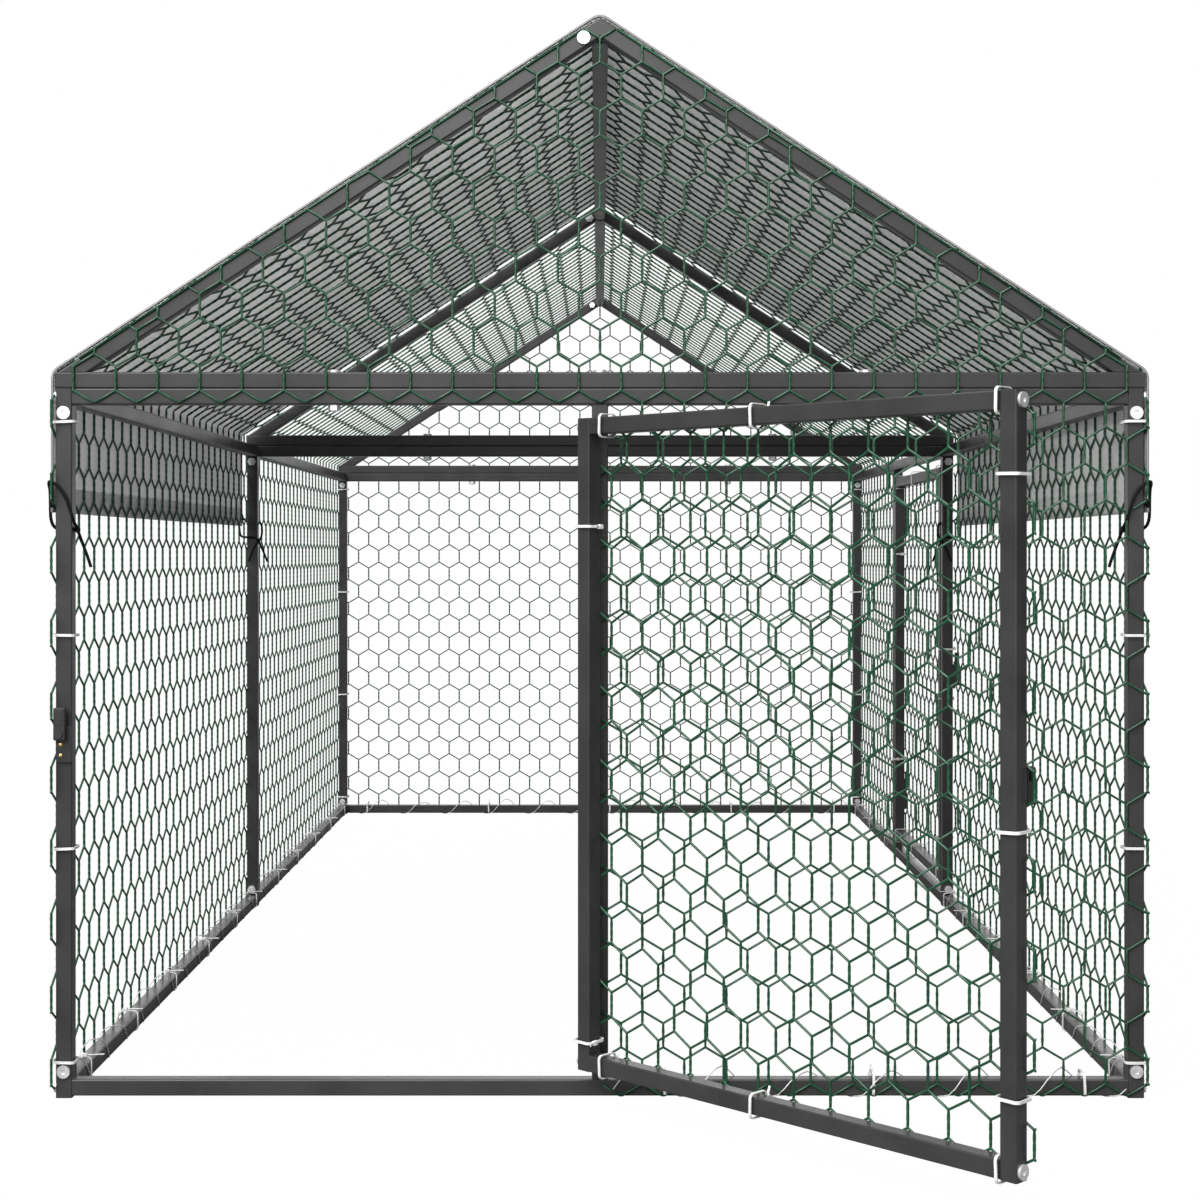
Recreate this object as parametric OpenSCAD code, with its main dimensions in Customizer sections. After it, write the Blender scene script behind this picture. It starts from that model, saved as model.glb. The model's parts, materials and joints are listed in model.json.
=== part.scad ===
// Walk-through wire run for hens: a bolted square-tube frame with a pitched roof,
// hexagonal wire netting, a half-length weather cover and two hinged doors with turn latches.
// X is across the run, Y from front to rear, Z up from the ground.

/* [Run] */
// Width over the posts
run_w = 1000; // [800:10:1400]
// Length over the front and rear posts
run_len = 2000; // [1900:10:2600]
// Height of the posts
post_h = 652; // [580:1:900]
// Pitch of the roof in degrees
roof_pitch = 33.16; // [25:0.01:42]
// How far the roof's outer edge stays inside the posts
eave_inset = 1.8; // [0:0.1:5]

/* [Tube] */
// Outside width of the square tube
tube_w = 15; // [14:0.5:20]
// Wall of the square tube
tube_wall = 1; // [0.8:0.1:1.5]
// Outer corner radius of the square tube
tube_r = 1.5; // [0.6:0.1:2.5]
// Thickness of the plates welded into tube ends
plug_t = 3; // [2:0.5:5]
// Thickness of the bolting tabs on rail ends
tab_t = 2; // [1.5:0.5:4]
// How far the bottom rails stay above the ground
rail_lift = 2; // [1:0.5:10]
// How far the truss ties reach past the posts
tie_over = 1; // [0:0.5:2]

/* [Doors] */
// Width of the side door
side_door_w = 442.5; // [350:0.5:460]
// Gap between a door and its hinge post
hinge_gap = 3.5; // [3:0.1:6]
// Gap between a door and its latch post
latch_gap = 6.5; // [6:0.1:10]
// Gap above and below a door
door_gap = 14; // [13:0.5:30]
// Angle at which the front door stands open
front_door_open = 135; // [0:1:160]
// Height of the hinge knuckles
hinge_h = 50; // [40:1:80]
// Distance from a door's edge to the middle of its hinge
hinge_inset = 72; // [50:1:120]
// Radius of a hinge knuckle
knuckle_r = 3; // [2.5:0.1:4]
// Radius of a hinge pin
pin_r = 1.5; // [1:0.1:1.9]
// Thickness of a hinge leaf
leaf_t = 1.5; // [1:0.1:2]
// Reach of a hinge leaf on the tube
leaf_w = 6.8; // [5:0.1:9]
// Radius of the hinge screws' heads
screw_r = 2.4; // [2:0.1:2.5]
// Height of the hinge screws' heads
screw_h = 0.8; // [0.5:0.1:1.2]

/* [Latches] */
// Height of the lever's pivot above the ground
latch_z = 334.7; // [200:0.1:450]
// Length of the lever from its pivot to its tip
lever_len = 24.3; // [22:0.1:27]
// Width of the lever
lever_w = 11; // [9:0.5:12]
// Thickness of the lever
lever_t = 5.2; // [4:0.1:6]
// Radius of the lever's pivot pin
pivot_r = 2; // [1.5:0.1:2.5]
// Height of the latch's top face above the tube
latch_base = 3.5; // [3:0.1:4.5]
// Width of the keeper on the door
keeper_w = 12; // [10:0.5:13]
// How far the keeper stands out from the door tube
keeper_out = 14; // [12:0.5:18]
// Height of the keeper
keeper_h = 29; // [24:0.5:36]
// Distance of the lever's pivot from the latch post's edge
pivot_in = 9.5; // [8:0.1:11]
// How far the latch plate reaches below the pivot
plate_drop = 25.7; // [22:0.1:32]
// How far the latch plate reaches above the pivot
plate_rise = 7.3; // [6:0.1:12]
// Distance from the pivot down to the first rivet
rivet_drop = 9.7; // [9:0.1:12]
// Distance between the rivets
rivet_pitch = 10; // [7:0.1:11]
// Radius of the rivet heads
rivet_r = 2.8; // [2:0.1:3]
// Height of the rivet heads
rivet_h = 1.2; // [0.8:0.1:2]

/* [Fasteners] */
// Diameter of the bolts
bolt_d = 6; // [5:0.5:6]
// Diameter of the bolt heads
head_d = 12; // [11:0.5:13]
// Height of the bolt heads
head_h = 2.2; // [1.5:0.1:2.3]
// Width across the nuts' flats
nut_af = 10; // [8:0.5:10]
// Height of the nuts
nut_h = 5; // [4:0.5:6]
// Distance of the tie bolts from the run's middle
tie_bolt_x = 245; // [150:1:300]

/* [Netting] */
// Thickness of the netting
net_t = 2; // [1:0.1:2]
// Width across the openings of the netting
net_cell = 176; // [150:1:240]
// Width of the netting's strands
net_strand = 5; // [3:0.5:8]
// How far a net laps over the tube that holds it
net_lap = 1; // [0.5:0.1:1.2]

/* [Cover] */
// Thickness of the cover
cover_t = 1.5; // [1:0.1:3]
// Height of the cover's hem above the ground
hem_z = 538; // [450:1:600]
// Gap between the cover's rear edge and the middle posts
cover_short = 22; // [5:1:60]
// Distance from the front posts' front face to the cover's front edge
cover_y = 1.5; // [0:0.1:10]
// Gap between the netting and the cover
cover_gap = 0.5; // [0.3:0.1:2]

/* [Cords] */
// Diameter of the tie cords
cord_d = 3; // [2:0.5:3]

/* [Clearances] */
// Clearance between pieces that move past each other
run_gap = 0.3; // [0.2:0.05:0.5]
// Clearance of a pin in its bore, on the radius
pin_gap = 0.05; // [0.03:0.01:0.09]
// Clearance of a bolt in its hole, on the radius
bolt_gap = 0.3; // [0.2:0.05:0.5]

/* [Hidden] */

$fn = 32;
// How far a cut reaches past what it cuts, or a pin into what holds it
past = 1;
tube_grey = [0.27, 0.27, 0.28];
net_green = [0.12, 0.4, 0.22];
zinc = [0.75, 0.76, 0.78];
black = [0.08, 0.08, 0.08];

half_w = run_w / 2;
post_x = half_w - tube_w / 2;
frame_y = [0, (run_len - tube_w) / 2, run_len - tube_w];
bore_w = tube_w - 2 * tube_wall;
bolt_r = bolt_d / 2;
hole_r = bolt_r + bolt_gap;
nut_r = nut_af / sqrt(3);
socket_r = 0.8 * bolt_r;
thread_over = 1;
pivot_head_r = pivot_r + past + run_gap;

// Heights of the level tubes
beam_z = post_h - tube_w;
tie_z = post_h;
tie_top = tie_z + tube_w;
rail_top = rail_lift + tube_w;
tab_h = tube_w - 1;
top_tab_z = beam_z - tube_w / 2;
bottom_tab_z = rail_top + tube_w / 2;

// Roof: the rafters' top line runs from the eave up to the apex
eave_x = half_w - eave_inset;
apex_z = tie_top + eave_x * tan(roof_pitch);
rafter_deep = tube_w / cos(roof_pitch);
ridge_top = apex_z - tube_w / 2 * tan(roof_pitch);
ridge_z = ridge_top - tube_w;
apex_bolt_x = -tube_w;
apex_bolt_z = apex_z - tube_w * tan(roof_pitch) - rafter_deep / 2;

// Doors: u runs from the hinge post towards the latch post, the outer face of the tubes is at o = 0
front_opening = half_w - 1.5 * tube_w;
front_door_w = front_opening - hinge_gap - latch_gap;
side_opening = side_door_w + hinge_gap + latch_gap;
side_post_y = frame_y[1] + tube_w + side_opening;
door_z = rail_top + door_gap;
door_h = beam_z - door_gap - door_z;
hinge_u = hinge_gap / 2;
hinge_o = knuckle_r;
rail_u = hinge_gap + tube_w;
hinge_zs = [door_z + hinge_inset, door_z + door_h - hinge_inset];

// The open front door reaches furthest at the bolt heads on its free edge
reach_u = hinge_gap + front_door_w + head_h - hinge_u;
reach_o = tube_w / 2 + head_d / 2 + hinge_o;
door_reach = hinge_o + reach_u * sin(front_door_open) - reach_o * cos(front_door_open);
front_y = (max(door_reach, net_t) - run_len - head_h) / 2;

// Netting and cover
net_x = half_w + net_t;
cover_in = net_t + cover_gap;
cover_len = frame_y[1] - cover_short - cover_y;

// Cords: distance out from the post's outer face, distance behind its front face, height above the hem
front_cord_route = [
  [-27.6, 19.6, -50.5], [-25.4, 19.4, -43.5], [-22.8, 19, -36], [-20.4, 18.2, -29],
  [-18.6, 16.2, -22.8], [-17.9, 12.6, -18.4], [-17.9, 8.4, -15.4], [-17.7, 4.2, -12.4],
  [-17, 0.4, -9], [-16.1, -2.4, -4.6], [-14.9, -3.7, 0.6], [-13, -3.8, 6.4],
  [-10.4, -3.8, 12.9], [-7, -3.8, 18.7], [-3, -3.6, 23.8], [1.2, -2.8, 27], [4.8, -1.2, 28.2],
  [6.7, 2, 26.8], [6.7, 5.4, 21.5], [6.6, 6.8, 11], [6.6, 7.2, 1], [6.2, 8.3, -7],
  [4.6, 11.6, -12.6], [1.2, 15.6, -15.6], [-4, 17.9, -17.2], [-9, 18.4, -18.2], [-13, 18.5, -19]
];
mid_cord_route = [
  [-3.5, -7, -50], [-7.5, -7, -39], [-12, -6.4, -29], [-16.4, -3.4, -22.5], [-19.4, 0.2, -16.5],
  [-20.6, 4.2, -10], [-19.8, 8.8, -3.5], [-18, 13.4, 2.5], [-14.5, 17.6, 5.5], [-9, 18, 6.2],
  [-3.5, 17.9, 6.5], [1.5, 16.4, 7.2], [5, 12.5, 9], [6.6, 7, 11.5], [6.6, 0, 15],
  [6.6, -10, 19.5], [6.6, -20, 24], [6.6, -26.5, 25.5], [6.6, -31, 22], [6.6, -30, 15],
  [6.7, -26, 6], [6.8, -21, -3], [7, -16, -9.5], [6.4, -11.5, -13.5], [4.2, -7.2, -15],
  [1, -4.6, -15.4], [-4, -2.9, -15.5], [-10, -3, -15.8], [-15, -5.5, -17.5], [-19.5, -7, -25],
  [-24.5, -7, -36], [-30, -6, -50]
];
cord_sides = 8;
// Ways through the side nets, and through the front net, for the cords
front_cord_pass = [16, -16.5];
mid_cord_passes = [[-4.5, -14.8], [16.2, 7]];
cord_pass_r = 2 * cord_d;
front_cord_cross = [-16.8, -6];
cord_cross_r = 3 * cord_d;

// Places its children with Y counted from the front posts' front face
module in_run() {
  translate([0, front_y, 0]) children();
}

// Places its children on the front doorway, seen from its hinge post
module front_doorway() {
  in_run() translate([-tube_w / 2, 0, 0]) rotate(180) children();
}

// Turns its children with the front door, which stands open
module front_door_swing() {
  front_doorway()
    translate([hinge_u, hinge_o, 0])
      rotate(front_door_open)
        translate([-hinge_u, -hinge_o, 0]) children();
}

// Places its children on the side doorway, seen from its hinge post
module side_doorway() {
  in_run() translate([half_w, side_post_y, 0]) rotate(-90) children();
}

// Square tube section with round outer corners
module tube_section() {
  inner = tube_w - 2 * tube_r;
  difference() {
    union() {
      square([tube_w, inner], center = true);
      square([inner, tube_w], center = true);
      for (x = [-1, 1], y = [-1, 1])
        translate([x * inner / 2, y * inner / 2]) circle(tube_r);
    }
    square(bore_w, center = true);
  }
}

// Upright tube, closed at both ends by plates with a threaded hole where asked
module tube(length, low_hole = false, high_hole = false) {
  linear_extrude(length) tube_section();
  end_plug(low_hole);
  translate([0, 0, length - plug_t]) end_plug(high_hole);
}

// Plate welded into a tube's end
module end_plug(hole) {
  linear_extrude(plug_t) difference() {
    square(bore_w, center = true);
    if (hole) circle(bolt_r + pin_gap);
  }
}

// Turns an upright piece to lie along +X or +Y
module along_x() {
  rotate([0, 90, 0]) children();
}

module along_y() {
  rotate([-90, 0, 0]) children();
}

// Bolt hole along Z, through a length either way
module drill(reach = tube_w) {
  translate([0, 0, -reach]) cylinder(r = hole_r, h = 2 * reach);
}

// Post with its cross bolt holes; the end frames also hold a bottom rail
module post(side, frame, has_rail) {
  color(tube_grey) in_run() translate([side * post_x, frame_y[frame] + tube_w / 2, 0])
    difference() {
      tube(post_h);
      for (z = [top_tab_z, bottom_tab_z])
        translate([0, 0, z]) along_y() drill();
      for (z = has_rail ? [beam_z, rail_lift] : [beam_z])
        translate([0, 0, z + tube_w / 2]) along_x() drill();
    }
}

// Door post between a bottom rail and the tube above it
module door_post(x, y) {
  color(tube_grey) in_run() translate([x, y + tube_w / 2, rail_top])
    tube(beam_z - rail_top, true, true);
}

// Beam between the posts of a frame, bolted at both ends and to the tie above
module wall_beam(frame, has_post) {
  color(tube_grey) in_run() translate([0, frame_y[frame] + tube_w / 2, beam_z + tube_w / 2])
    difference() {
      translate([tube_w - half_w, 0, 0]) along_x() tube(run_w - 2 * tube_w, true, true);
      for (x = tie_bolts(has_post)) translate([x, 0, 0]) drill();
    }
}

// Places of the upright bolts of a truss
function tie_bolts(has_post) = concat([-tie_bolt_x, tie_bolt_x], has_post ? [0] : []);

// Tie at the foot of a roof truss
module truss_tie(frame, has_post) {
  tie_len = run_w + 2 * tie_over;
  color(tube_grey) in_run() translate([0, frame_y[frame] + tube_w / 2, tie_z + tube_w / 2])
    difference() {
      translate([-tie_len / 2, 0, 0]) along_x() tube(tie_len);
      for (x = tie_bolts(has_post)) translate([x, 0, 0]) drill();
    }
}

// Pair of rafters, cut level on the tie and upright at the apex
module rafters(frame) {
  color(tube_grey) in_run() translate([0, frame_y[frame] + tube_w / 2, 0])
    difference() {
      for (side = [0, 1]) mirror([side, 0, 0]) rafter();
      translate([apex_bolt_x, 0, apex_bolt_z]) along_y() drill();
    }
}

module rafter() {
  length = eave_x / cos(roof_pitch) + 3 * tube_w;
  intersection() {
    translate([0, 0, apex_z])
      rotate([0, 90 + roof_pitch, 0])
        translate([tube_w / 2, 0, -2 * tube_w])
          linear_extrude(length) tube_section();
    translate([0, -tube_w, tie_top]) cube([run_w, 2 * tube_w, run_w]);
  }
}

// Ridge tubes, one to each bay, with a bolting tab behind the left rafter at each end
module ridge_tubes() {
  tab = [
    [tube_w / 2, ridge_z], [tube_w / 2, ridge_top], [-tube_w / 2, ridge_top],
    [-1.5 * tube_w, ridge_top - tube_w * tan(roof_pitch)],
    [-1.5 * tube_w, ridge_top - tube_w * tan(roof_pitch) - tab_h], [-tube_w / 2, ridge_z]
  ];
  color(tube_grey) in_run() for (bay = [0, 1]) translate([0, frame_y[bay] + tube_w, 0]) {
    translate([0, tab_t, ridge_z + tube_w / 2]) along_y()
      linear_extrude(bay_len - 2 * tab_t) tube_section();
    for (y = [0, bay_len - tab_t]) translate([0, y, 0])
      difference() {
        translate([0, tab_t, 0]) rotate([90, 0, 0]) linear_extrude(tab_t) polygon(tab);
        translate([apex_bolt_x, 0, apex_bolt_z]) along_y() drill();
      }
  }
}

bay_len = frame_y[1] - tube_w;

// Bottom rail across the front or rear
module cross_rail(frame, has_post) {
  color(tube_grey) in_run()
    translate([0, frame_y[frame] + tube_w / 2, rail_lift + tube_w / 2])
      difference() {
        translate([tube_w - half_w, 0, 0]) along_x() tube(run_w - 2 * tube_w, true, true);
        if (has_post) post_foot_holes();
      }
}

// Bolt hole into a door post's foot, with a way in for the head from below
module post_foot_holes() {
  cylinder(r = hole_r, h = tube_w);
  translate([0, 0, -tube_w]) cylinder(d = head_d + 2 * bolt_gap, h = tube_w);
}

// Side rails of both bays, each with a bolting tab at its ends: up is 1 on the ground, -1 at the eaves
module side_rails(side, z, up, has_post) {
  color(tube_grey) in_run() translate([side * post_x, 0, z + tube_w / 2])
    difference() {
      for (bay = [0, 1]) translate([0, frame_y[bay] + tube_w, 0]) side_rail(up);
      if (has_post) translate([0, side_post_y + tube_w / 2, 0]) {
        if (up > 0) post_foot_holes();
        else drill();
      }
    }
}

module side_rail(up) {
  translate([0, tab_t, 0]) along_y() linear_extrude(bay_len - 2 * tab_t) tube_section();
  for (y = [0, bay_len - tab_t]) translate([0, y, 0])
    difference() {
      low = up > 0 ? -tube_w / 2 : -tube_w / 2 - tab_h;
      translate([-tube_w / 2, 0, low]) cube([tube_w, tab_t, tube_w + tab_h]);
      translate([0, 0, up * tube_w]) along_y() drill();
    }
}

// Stiles of a door, drilled for the rails' bolts
module door_stiles(width) {
  color(tube_grey) for (u = [hinge_gap, hinge_gap + width - tube_w])
    translate([u + tube_w / 2, -tube_w / 2, door_z])
      difference() {
        tube(door_h);
        for (z = [tube_w / 2, door_h - tube_w / 2]) translate([0, 0, z]) along_x() drill();
      }
}

// Rails of a door, between its stiles
module door_rails(width) {
  color(tube_grey) for (z = [door_z, door_z + door_h - tube_w])
    translate([rail_u, -tube_w / 2, z + tube_w / 2])
      along_x() tube(width - 2 * tube_w, true, true);
}

// Bolts through a door's stiles into its rails
module door_bolts(width) {
  color(zinc) for (z = [door_z + tube_w / 2, door_z + door_h - tube_w / 2])
    translate([0, -tube_w / 2, z]) {
      translate([hinge_gap, 0, 0]) along_x() bolt(tube_w + plug_t);
      translate([hinge_gap + width, 0, 0]) rotate([0, -90, 0]) bolt(tube_w + plug_t);
    }
}

// Netting of hexagonal openings within an outline, in the XY plane
module hex_net(outline) {
  row = net_cell * sqrt(3) / 2;
  low = [min([for (p = outline) p[0]]), min([for (p = outline) p[1]])];
  high = [max([for (p = outline) p[0]]), max([for (p = outline) p[1]])];
  mid = (low + high) / 2;
  columns = ceil((high[0] - low[0]) / net_cell / 2) + 1;
  rows = ceil((high[1] - low[1]) / row / 2) + 1;
  linear_extrude(net_t) difference() {
    polygon(outline);
    intersection() {
      polygon(inset(outline, net_strand));
      for (j = [-rows : rows], i = [-columns : columns])
        translate(mid + [(i + (abs(j) % 2) / 2) * net_cell, j * row])
          rotate(30) circle(r = (net_cell - net_strand) / sqrt(3), $fn = 6);
    }
  }
}

// A convex outline, drawn anticlockwise, moved in by a distance on every side
function inset(points, by) = [
  for (k = [0 : len(points) - 1])
    let (
      before = points[(k + len(points) - 1) % len(points)],
      here = points[k],
      after = points[(k + 1) % len(points)],
      a = (here - before) / norm(here - before),
      b = (after - here) / norm(after - here),
      turn = a[0] * b[1] - a[1] * b[0]
    )
    here + (b - a) * by / turn
];

// A rectangle's outline, anticlockwise
function rectangle(low, high) = [low, [high[0], low[1]], high, [low[0], high[1]]];

// Side net of one bay, upright outside the posts, with a way through for a cord
module side_net(side, y0, y1, pass = []) {
  color(net_green) in_run() difference() {
    translate([side > 0 ? half_w : -net_x, 0, 0]) rotate([90, 0, 90])
      hex_net(rectangle([y0 - net_lap, rail_top - net_lap], [y1 + net_lap, beam_z + net_lap]));
    for (p = pass) translate([side * half_w, p[0], hem_z + p[1]]) along_x()
      cylinder(r = cord_pass_r, h = 2 * tube_w, center = true);
  }
}

// Roof net of one slope, on the rafters' tops
module roof_net(side) {
  ridge_u = tube_w / 2 / cos(roof_pitch);
  color(net_green) in_run() mirror([side > 0 ? 0 : 1, 0, 0])
    translate([0, 0, apex_z]) rotate([0, roof_pitch, 0])
      hex_net(rectangle(
        [ridge_u, tube_w - net_lap],
        [eave_x / cos(roof_pitch) - tube_w, run_len - tube_w + net_lap]
      ));
}

// Outline of a gable between the rafters, above a height
function gable_line(z) = apex_z - rafter_deep + net_lap / cos(roof_pitch) - z;
gable_x = half_w - tube_w + net_lap;
gable_shoulder = gable_line(gable_x * tan(roof_pitch));

// Nets of the front wall: the gable, and the fixed half beside the doorway
module gable_net() {
  foot = beam_z + tube_w / 2;
  outline = [
    [-gable_x, foot], [gable_x, foot], [gable_x, gable_shoulder],
    [0, gable_line(0)], [-gable_x, gable_shoulder]
  ];
  color(net_green) in_run() rotate([90, 0, 0]) hex_net(outline);
}

module front_net() {
  leaf_edge_x = knuckle_r + leaf_w - hinge_u - tube_w / 2;
  color(net_green) in_run() difference() {
    rotate([90, 0, 0]) hex_net(rectangle(
      [leaf_edge_x + run_gap, rail_top - net_lap],
      [half_w - tube_w + net_lap, beam_z + tube_w / 2 - run_gap]
    ));
    translate([half_w + front_cord_cross[0], 0, hem_z + front_cord_cross[1]])
      along_y() cylinder(r = cord_cross_r, h = 2 * tube_w, center = true);
  }
}

// Net of the whole rear wall and its gable
module rear_net() {
  foot = rail_top - net_lap;
  outline = [
    [-gable_x, foot], [gable_x, foot], [gable_x, gable_shoulder],
    [0, gable_line(0)], [-gable_x, gable_shoulder]
  ];
  color(net_green) in_run() translate([0, run_len + net_t, 0]) rotate([90, 0, 0])
    hex_net(outline);
}

// Net on a door's outer face, clear of its hinge leaves
module door_net(width) {
  start_u = hinge_u + knuckle_r + leaf_w + run_gap;
  color(net_green) translate([0, net_t, 0]) rotate([90, 0, 0])
    hex_net(rectangle(
      [start_u, door_z + net_lap],
      [hinge_gap + width - net_lap, door_z + door_h - net_lap]
    ));
}

// Weather cover over the front bay, outside the nets and down to a hem on both sides
module cover() {
  color([0.6, 0.6, 0.6]) in_run() translate([0, cover_y + cover_len, 0]) rotate([90, 0, 0])
    linear_extrude(cover_len) difference() {
      polygon(cover_line(cover_in + cover_t, hem_z));
      polygon(cover_line(cover_in, hem_z - cover_t));
    }
}

// Outline of the space under the cover, a distance outside the frame
function cover_line(out, foot) =
  let (
    side_x = half_w + out,
    top = apex_z + out / cos(roof_pitch),
    eave = top - side_x * tan(roof_pitch)
  )
  [[-side_x, foot], [side_x, foot], [side_x, eave], [0, top], [-side_x, eave]];

// Knuckle of a hinge over part of its height
module knuckle(z0, z1) {
  translate([hinge_u, hinge_o, z0]) cylinder(r = knuckle_r, h = z1 - z0);
}

// Flat of a hinge leaf with its two screw heads: side is -1 on the post, 1 on the door
module leaf_plate(z0, z1, side) {
  reach = knuckle_r + leaf_w;
  edge = side > 0 ? 0 : -reach;
  translate([hinge_u + edge, 0, z0]) cube([reach, leaf_t, z1 - z0]);
}

module leaf_screws(z, side) {
  screw_u = hinge_u + side * (knuckle_r + leaf_w - screw_r - run_gap);
  for (dz = [-third, third])
    translate([screw_u, leaf_t, z + dz]) along_y() cylinder(r = screw_r, h = screw_h);
}

third = hinge_h / 3;

// Hinge halves on the post: the outer knuckles and the pin
module hinge_post_leaves() {
  color(black) for (z = hinge_zs) {
    for (end = [-1, 1]) {
      z0 = end < 0 ? z - hinge_h / 2 : z + third / 2 + run_gap / 2;
      z1 = end < 0 ? z - third / 2 - run_gap / 2 : z + hinge_h / 2;
      knuckle(z0, z1);
      leaf_plate(z0, z1, -1);
    }
    translate([hinge_u - knuckle_r - leaf_w, 0, z - hinge_h / 2])
      cube([leaf_w - run_gap, leaf_t, hinge_h]);
    translate([hinge_u, hinge_o, z - hinge_h / 2]) cylinder(r = pin_r, h = hinge_h);
    leaf_screws(z, -1);
  }
}

// Hinge halves on the door: the middle knuckle, bored for the pin
module hinge_door_leaves() {
  color(black) for (z = hinge_zs) {
    z0 = z - third / 2 + run_gap / 2;
    z1 = z + third / 2 - run_gap / 2;
    difference() {
      union() {
        knuckle(z0, z1);
        leaf_plate(z0, z1, 1);
      }
      translate([hinge_u, hinge_o, z0 - past]) cylinder(r = pin_r + pin_gap, h = third + 2 * past);
    }
    translate([hinge_u + knuckle_r + run_gap, 0, z - hinge_h / 2])
      cube([leaf_w - run_gap, leaf_t, hinge_h]);
    leaf_screws(z, 1);
  }
}

// Latch: a lever turns on a plate on the latch post and drops into a keeper on the door
lever_o = latch_base + run_gap;
pivot_top = lever_t + 2 * run_gap;

module latch_plate(opening) {
  color(black) {
    translate([opening, 0, latch_z - plate_drop])
      cube([tube_w - net_lap - run_gap, latch_base, plate_drop + plate_rise]);
    translate([opening + pivot_in, latch_base, latch_z]) along_y() {
      translate([0, 0, -past]) cylinder(r = pivot_r, h = pivot_top + 2 * past);
      translate([0, 0, pivot_top]) cylinder(r = pivot_head_r, h = past);
    }
  }
}

module latch_lever(opening) {
  color(black) translate([opening + pivot_in, lever_o, latch_z]) difference() {
    union() {
      along_y() cylinder(d = lever_w, h = lever_t);
      translate([-lever_w / 2, 0, 0]) cube([lever_w, lever_t, lever_len]);
    }
    translate([0, -past, 0]) along_y() cylinder(r = pivot_r + pin_gap, h = lever_t + 2 * past);
  }
}

module keeper(width) {
  lip_o = lever_o + lever_t + 2 * run_gap;
  floor_z = latch_z - lever_w / 2 - 2 * run_gap;
  top_z = latch_z + lever_w / 2 - run_gap;
  low_z = top_z - keeper_h;
  color(black) translate([hinge_gap + width - net_lap - keeper_w, 0, 0]) {
    translate([0, net_t, low_z]) cube([keeper_w, latch_base - net_t, keeper_h]);
    translate([0, net_t, low_z]) cube([keeper_w, keeper_out - net_t, floor_z - low_z]);
    translate([0, lip_o, low_z]) cube([keeper_w, keeper_out - lip_o, keeper_h]);
  }
}

module rivets(opening) {
  color([0.75, 0.6, 0.25]) for (drop = [rivet_drop, rivet_drop + rivet_pitch])
    translate([opening + pivot_in, latch_base, latch_z - drop]) along_y()
      cylinder(r = rivet_r, h = rivet_h);
}

module latch_rivets() {
  front_doorway() rivets(front_opening);
  side_doorway() rivets(side_opening);
}

// Bolt along +Z with its head below 0, for a stack of the given thickness
module bolt(grip) {
  cylinder(r = bolt_r, h = grip + thread_over);
  translate([0, 0, -head_h]) difference() {
    cylinder(d = head_d, h = head_h);
    translate([0, 0, -past]) cylinder(r = socket_r, h = head_h / 2 + past, $fn = 6);
  }
}

// Nut above a stack of the given thickness
module nut(grip) {
  translate([0, 0, grip]) difference() {
    cylinder(r = nut_r, h = nut_h, $fn = 6);
    translate([0, 0, -past]) cylinder(r = bolt_r + pin_gap, h = nut_h + 2 * past);
  }
}

// Stacks clamped by bolts and nuts along Y: front face, thickness, and the side of the head
front_stack = [0, tube_w + tab_t, 1];
mid_stack = [frame_y[1] - tab_t, tube_w + 2 * tab_t, -1];
rear_stack = [frame_y[2] - tab_t, tube_w + tab_t, -1];

// Places its children at each nutted stack along Y, head end at 0
module stacks() {
  for (s = [front_stack, mid_stack, rear_stack])
    for (p = stack_places())
      translate([p[0], s[2] > 0 ? s[0] : s[0] + s[1], p[1]])
        rotate([s[2] > 0 ? -90 : 90, 0, 0]) {
          $grip = s[1];
          children();
        }
}

function stack_places() = concat(
  [for (side = [-1, 1], z = [top_tab_z, bottom_tab_z]) [side * post_x, z]],
  [[apex_bolt_x, apex_bolt_z]]
);

// Places its children on the tie bolts, head end at 0
module tie_stacks() {
  for (y = frame_y, x = tie_bolts(false))
    translate([x, y + tube_w / 2, tie_top]) rotate([180, 0, 0]) children();
}

module frame_bolts() {
  color(zinc) in_run() {
    stacks() bolt($grip + nut_h);
    tie_stacks() bolt(2 * tube_w + nut_h);
    translate([0, tube_w / 2, tie_top]) rotate([180, 0, 0]) bolt(2 * tube_w + plug_t);
    for (side = [0, 1]) mirror([side, 0, 0]) post_bolts();
    translate([0, tube_w / 2, 0]) foot_bolt();
    translate([post_x, side_post_y + tube_w / 2, 0]) {
      foot_bolt();
      translate([0, 0, post_h]) rotate([180, 0, 0]) bolt(tube_w + plug_t);
    }
  }
}

// Bolts through the left posts into the beams and the bottom rails
module post_bolts() {
  for (frame = [0, 1, 2], z = frame == 1 ? [beam_z] : [beam_z, rail_lift])
    translate([-half_w, frame_y[frame] + tube_w / 2, z + tube_w / 2])
      along_x() bolt(tube_w + plug_t);
}

// Bolt from inside a bottom rail into a door post's foot
module foot_bolt() {
  translate([0, 0, rail_top - tube_wall]) bolt(tube_wall + plug_t);
}

module frame_nuts() {
  color(zinc) in_run() {
    stacks() nut($grip);
    tie_stacks() nut(2 * tube_w);
  }
}

// Tube swept along a route, with rings square to it
function unit(v) = v / norm(v);
function heading(route, k) =
  unit(route[min(k + 1, len(route) - 1)] - route[max(k - 1, 0)]);
function ring(centre, dir) =
  let (
    level = unit(cross(abs(dir[2]) < 0.9 ? [0, 0, 1] : [1, 0, 0], dir)),
    rise = cross(dir, level)
  )
  [for (s = [0 : cord_sides - 1])
    centre + cord_d / 2 * (level * cos(360 * s / cord_sides) + rise * sin(360 * s / cord_sides))];

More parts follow.
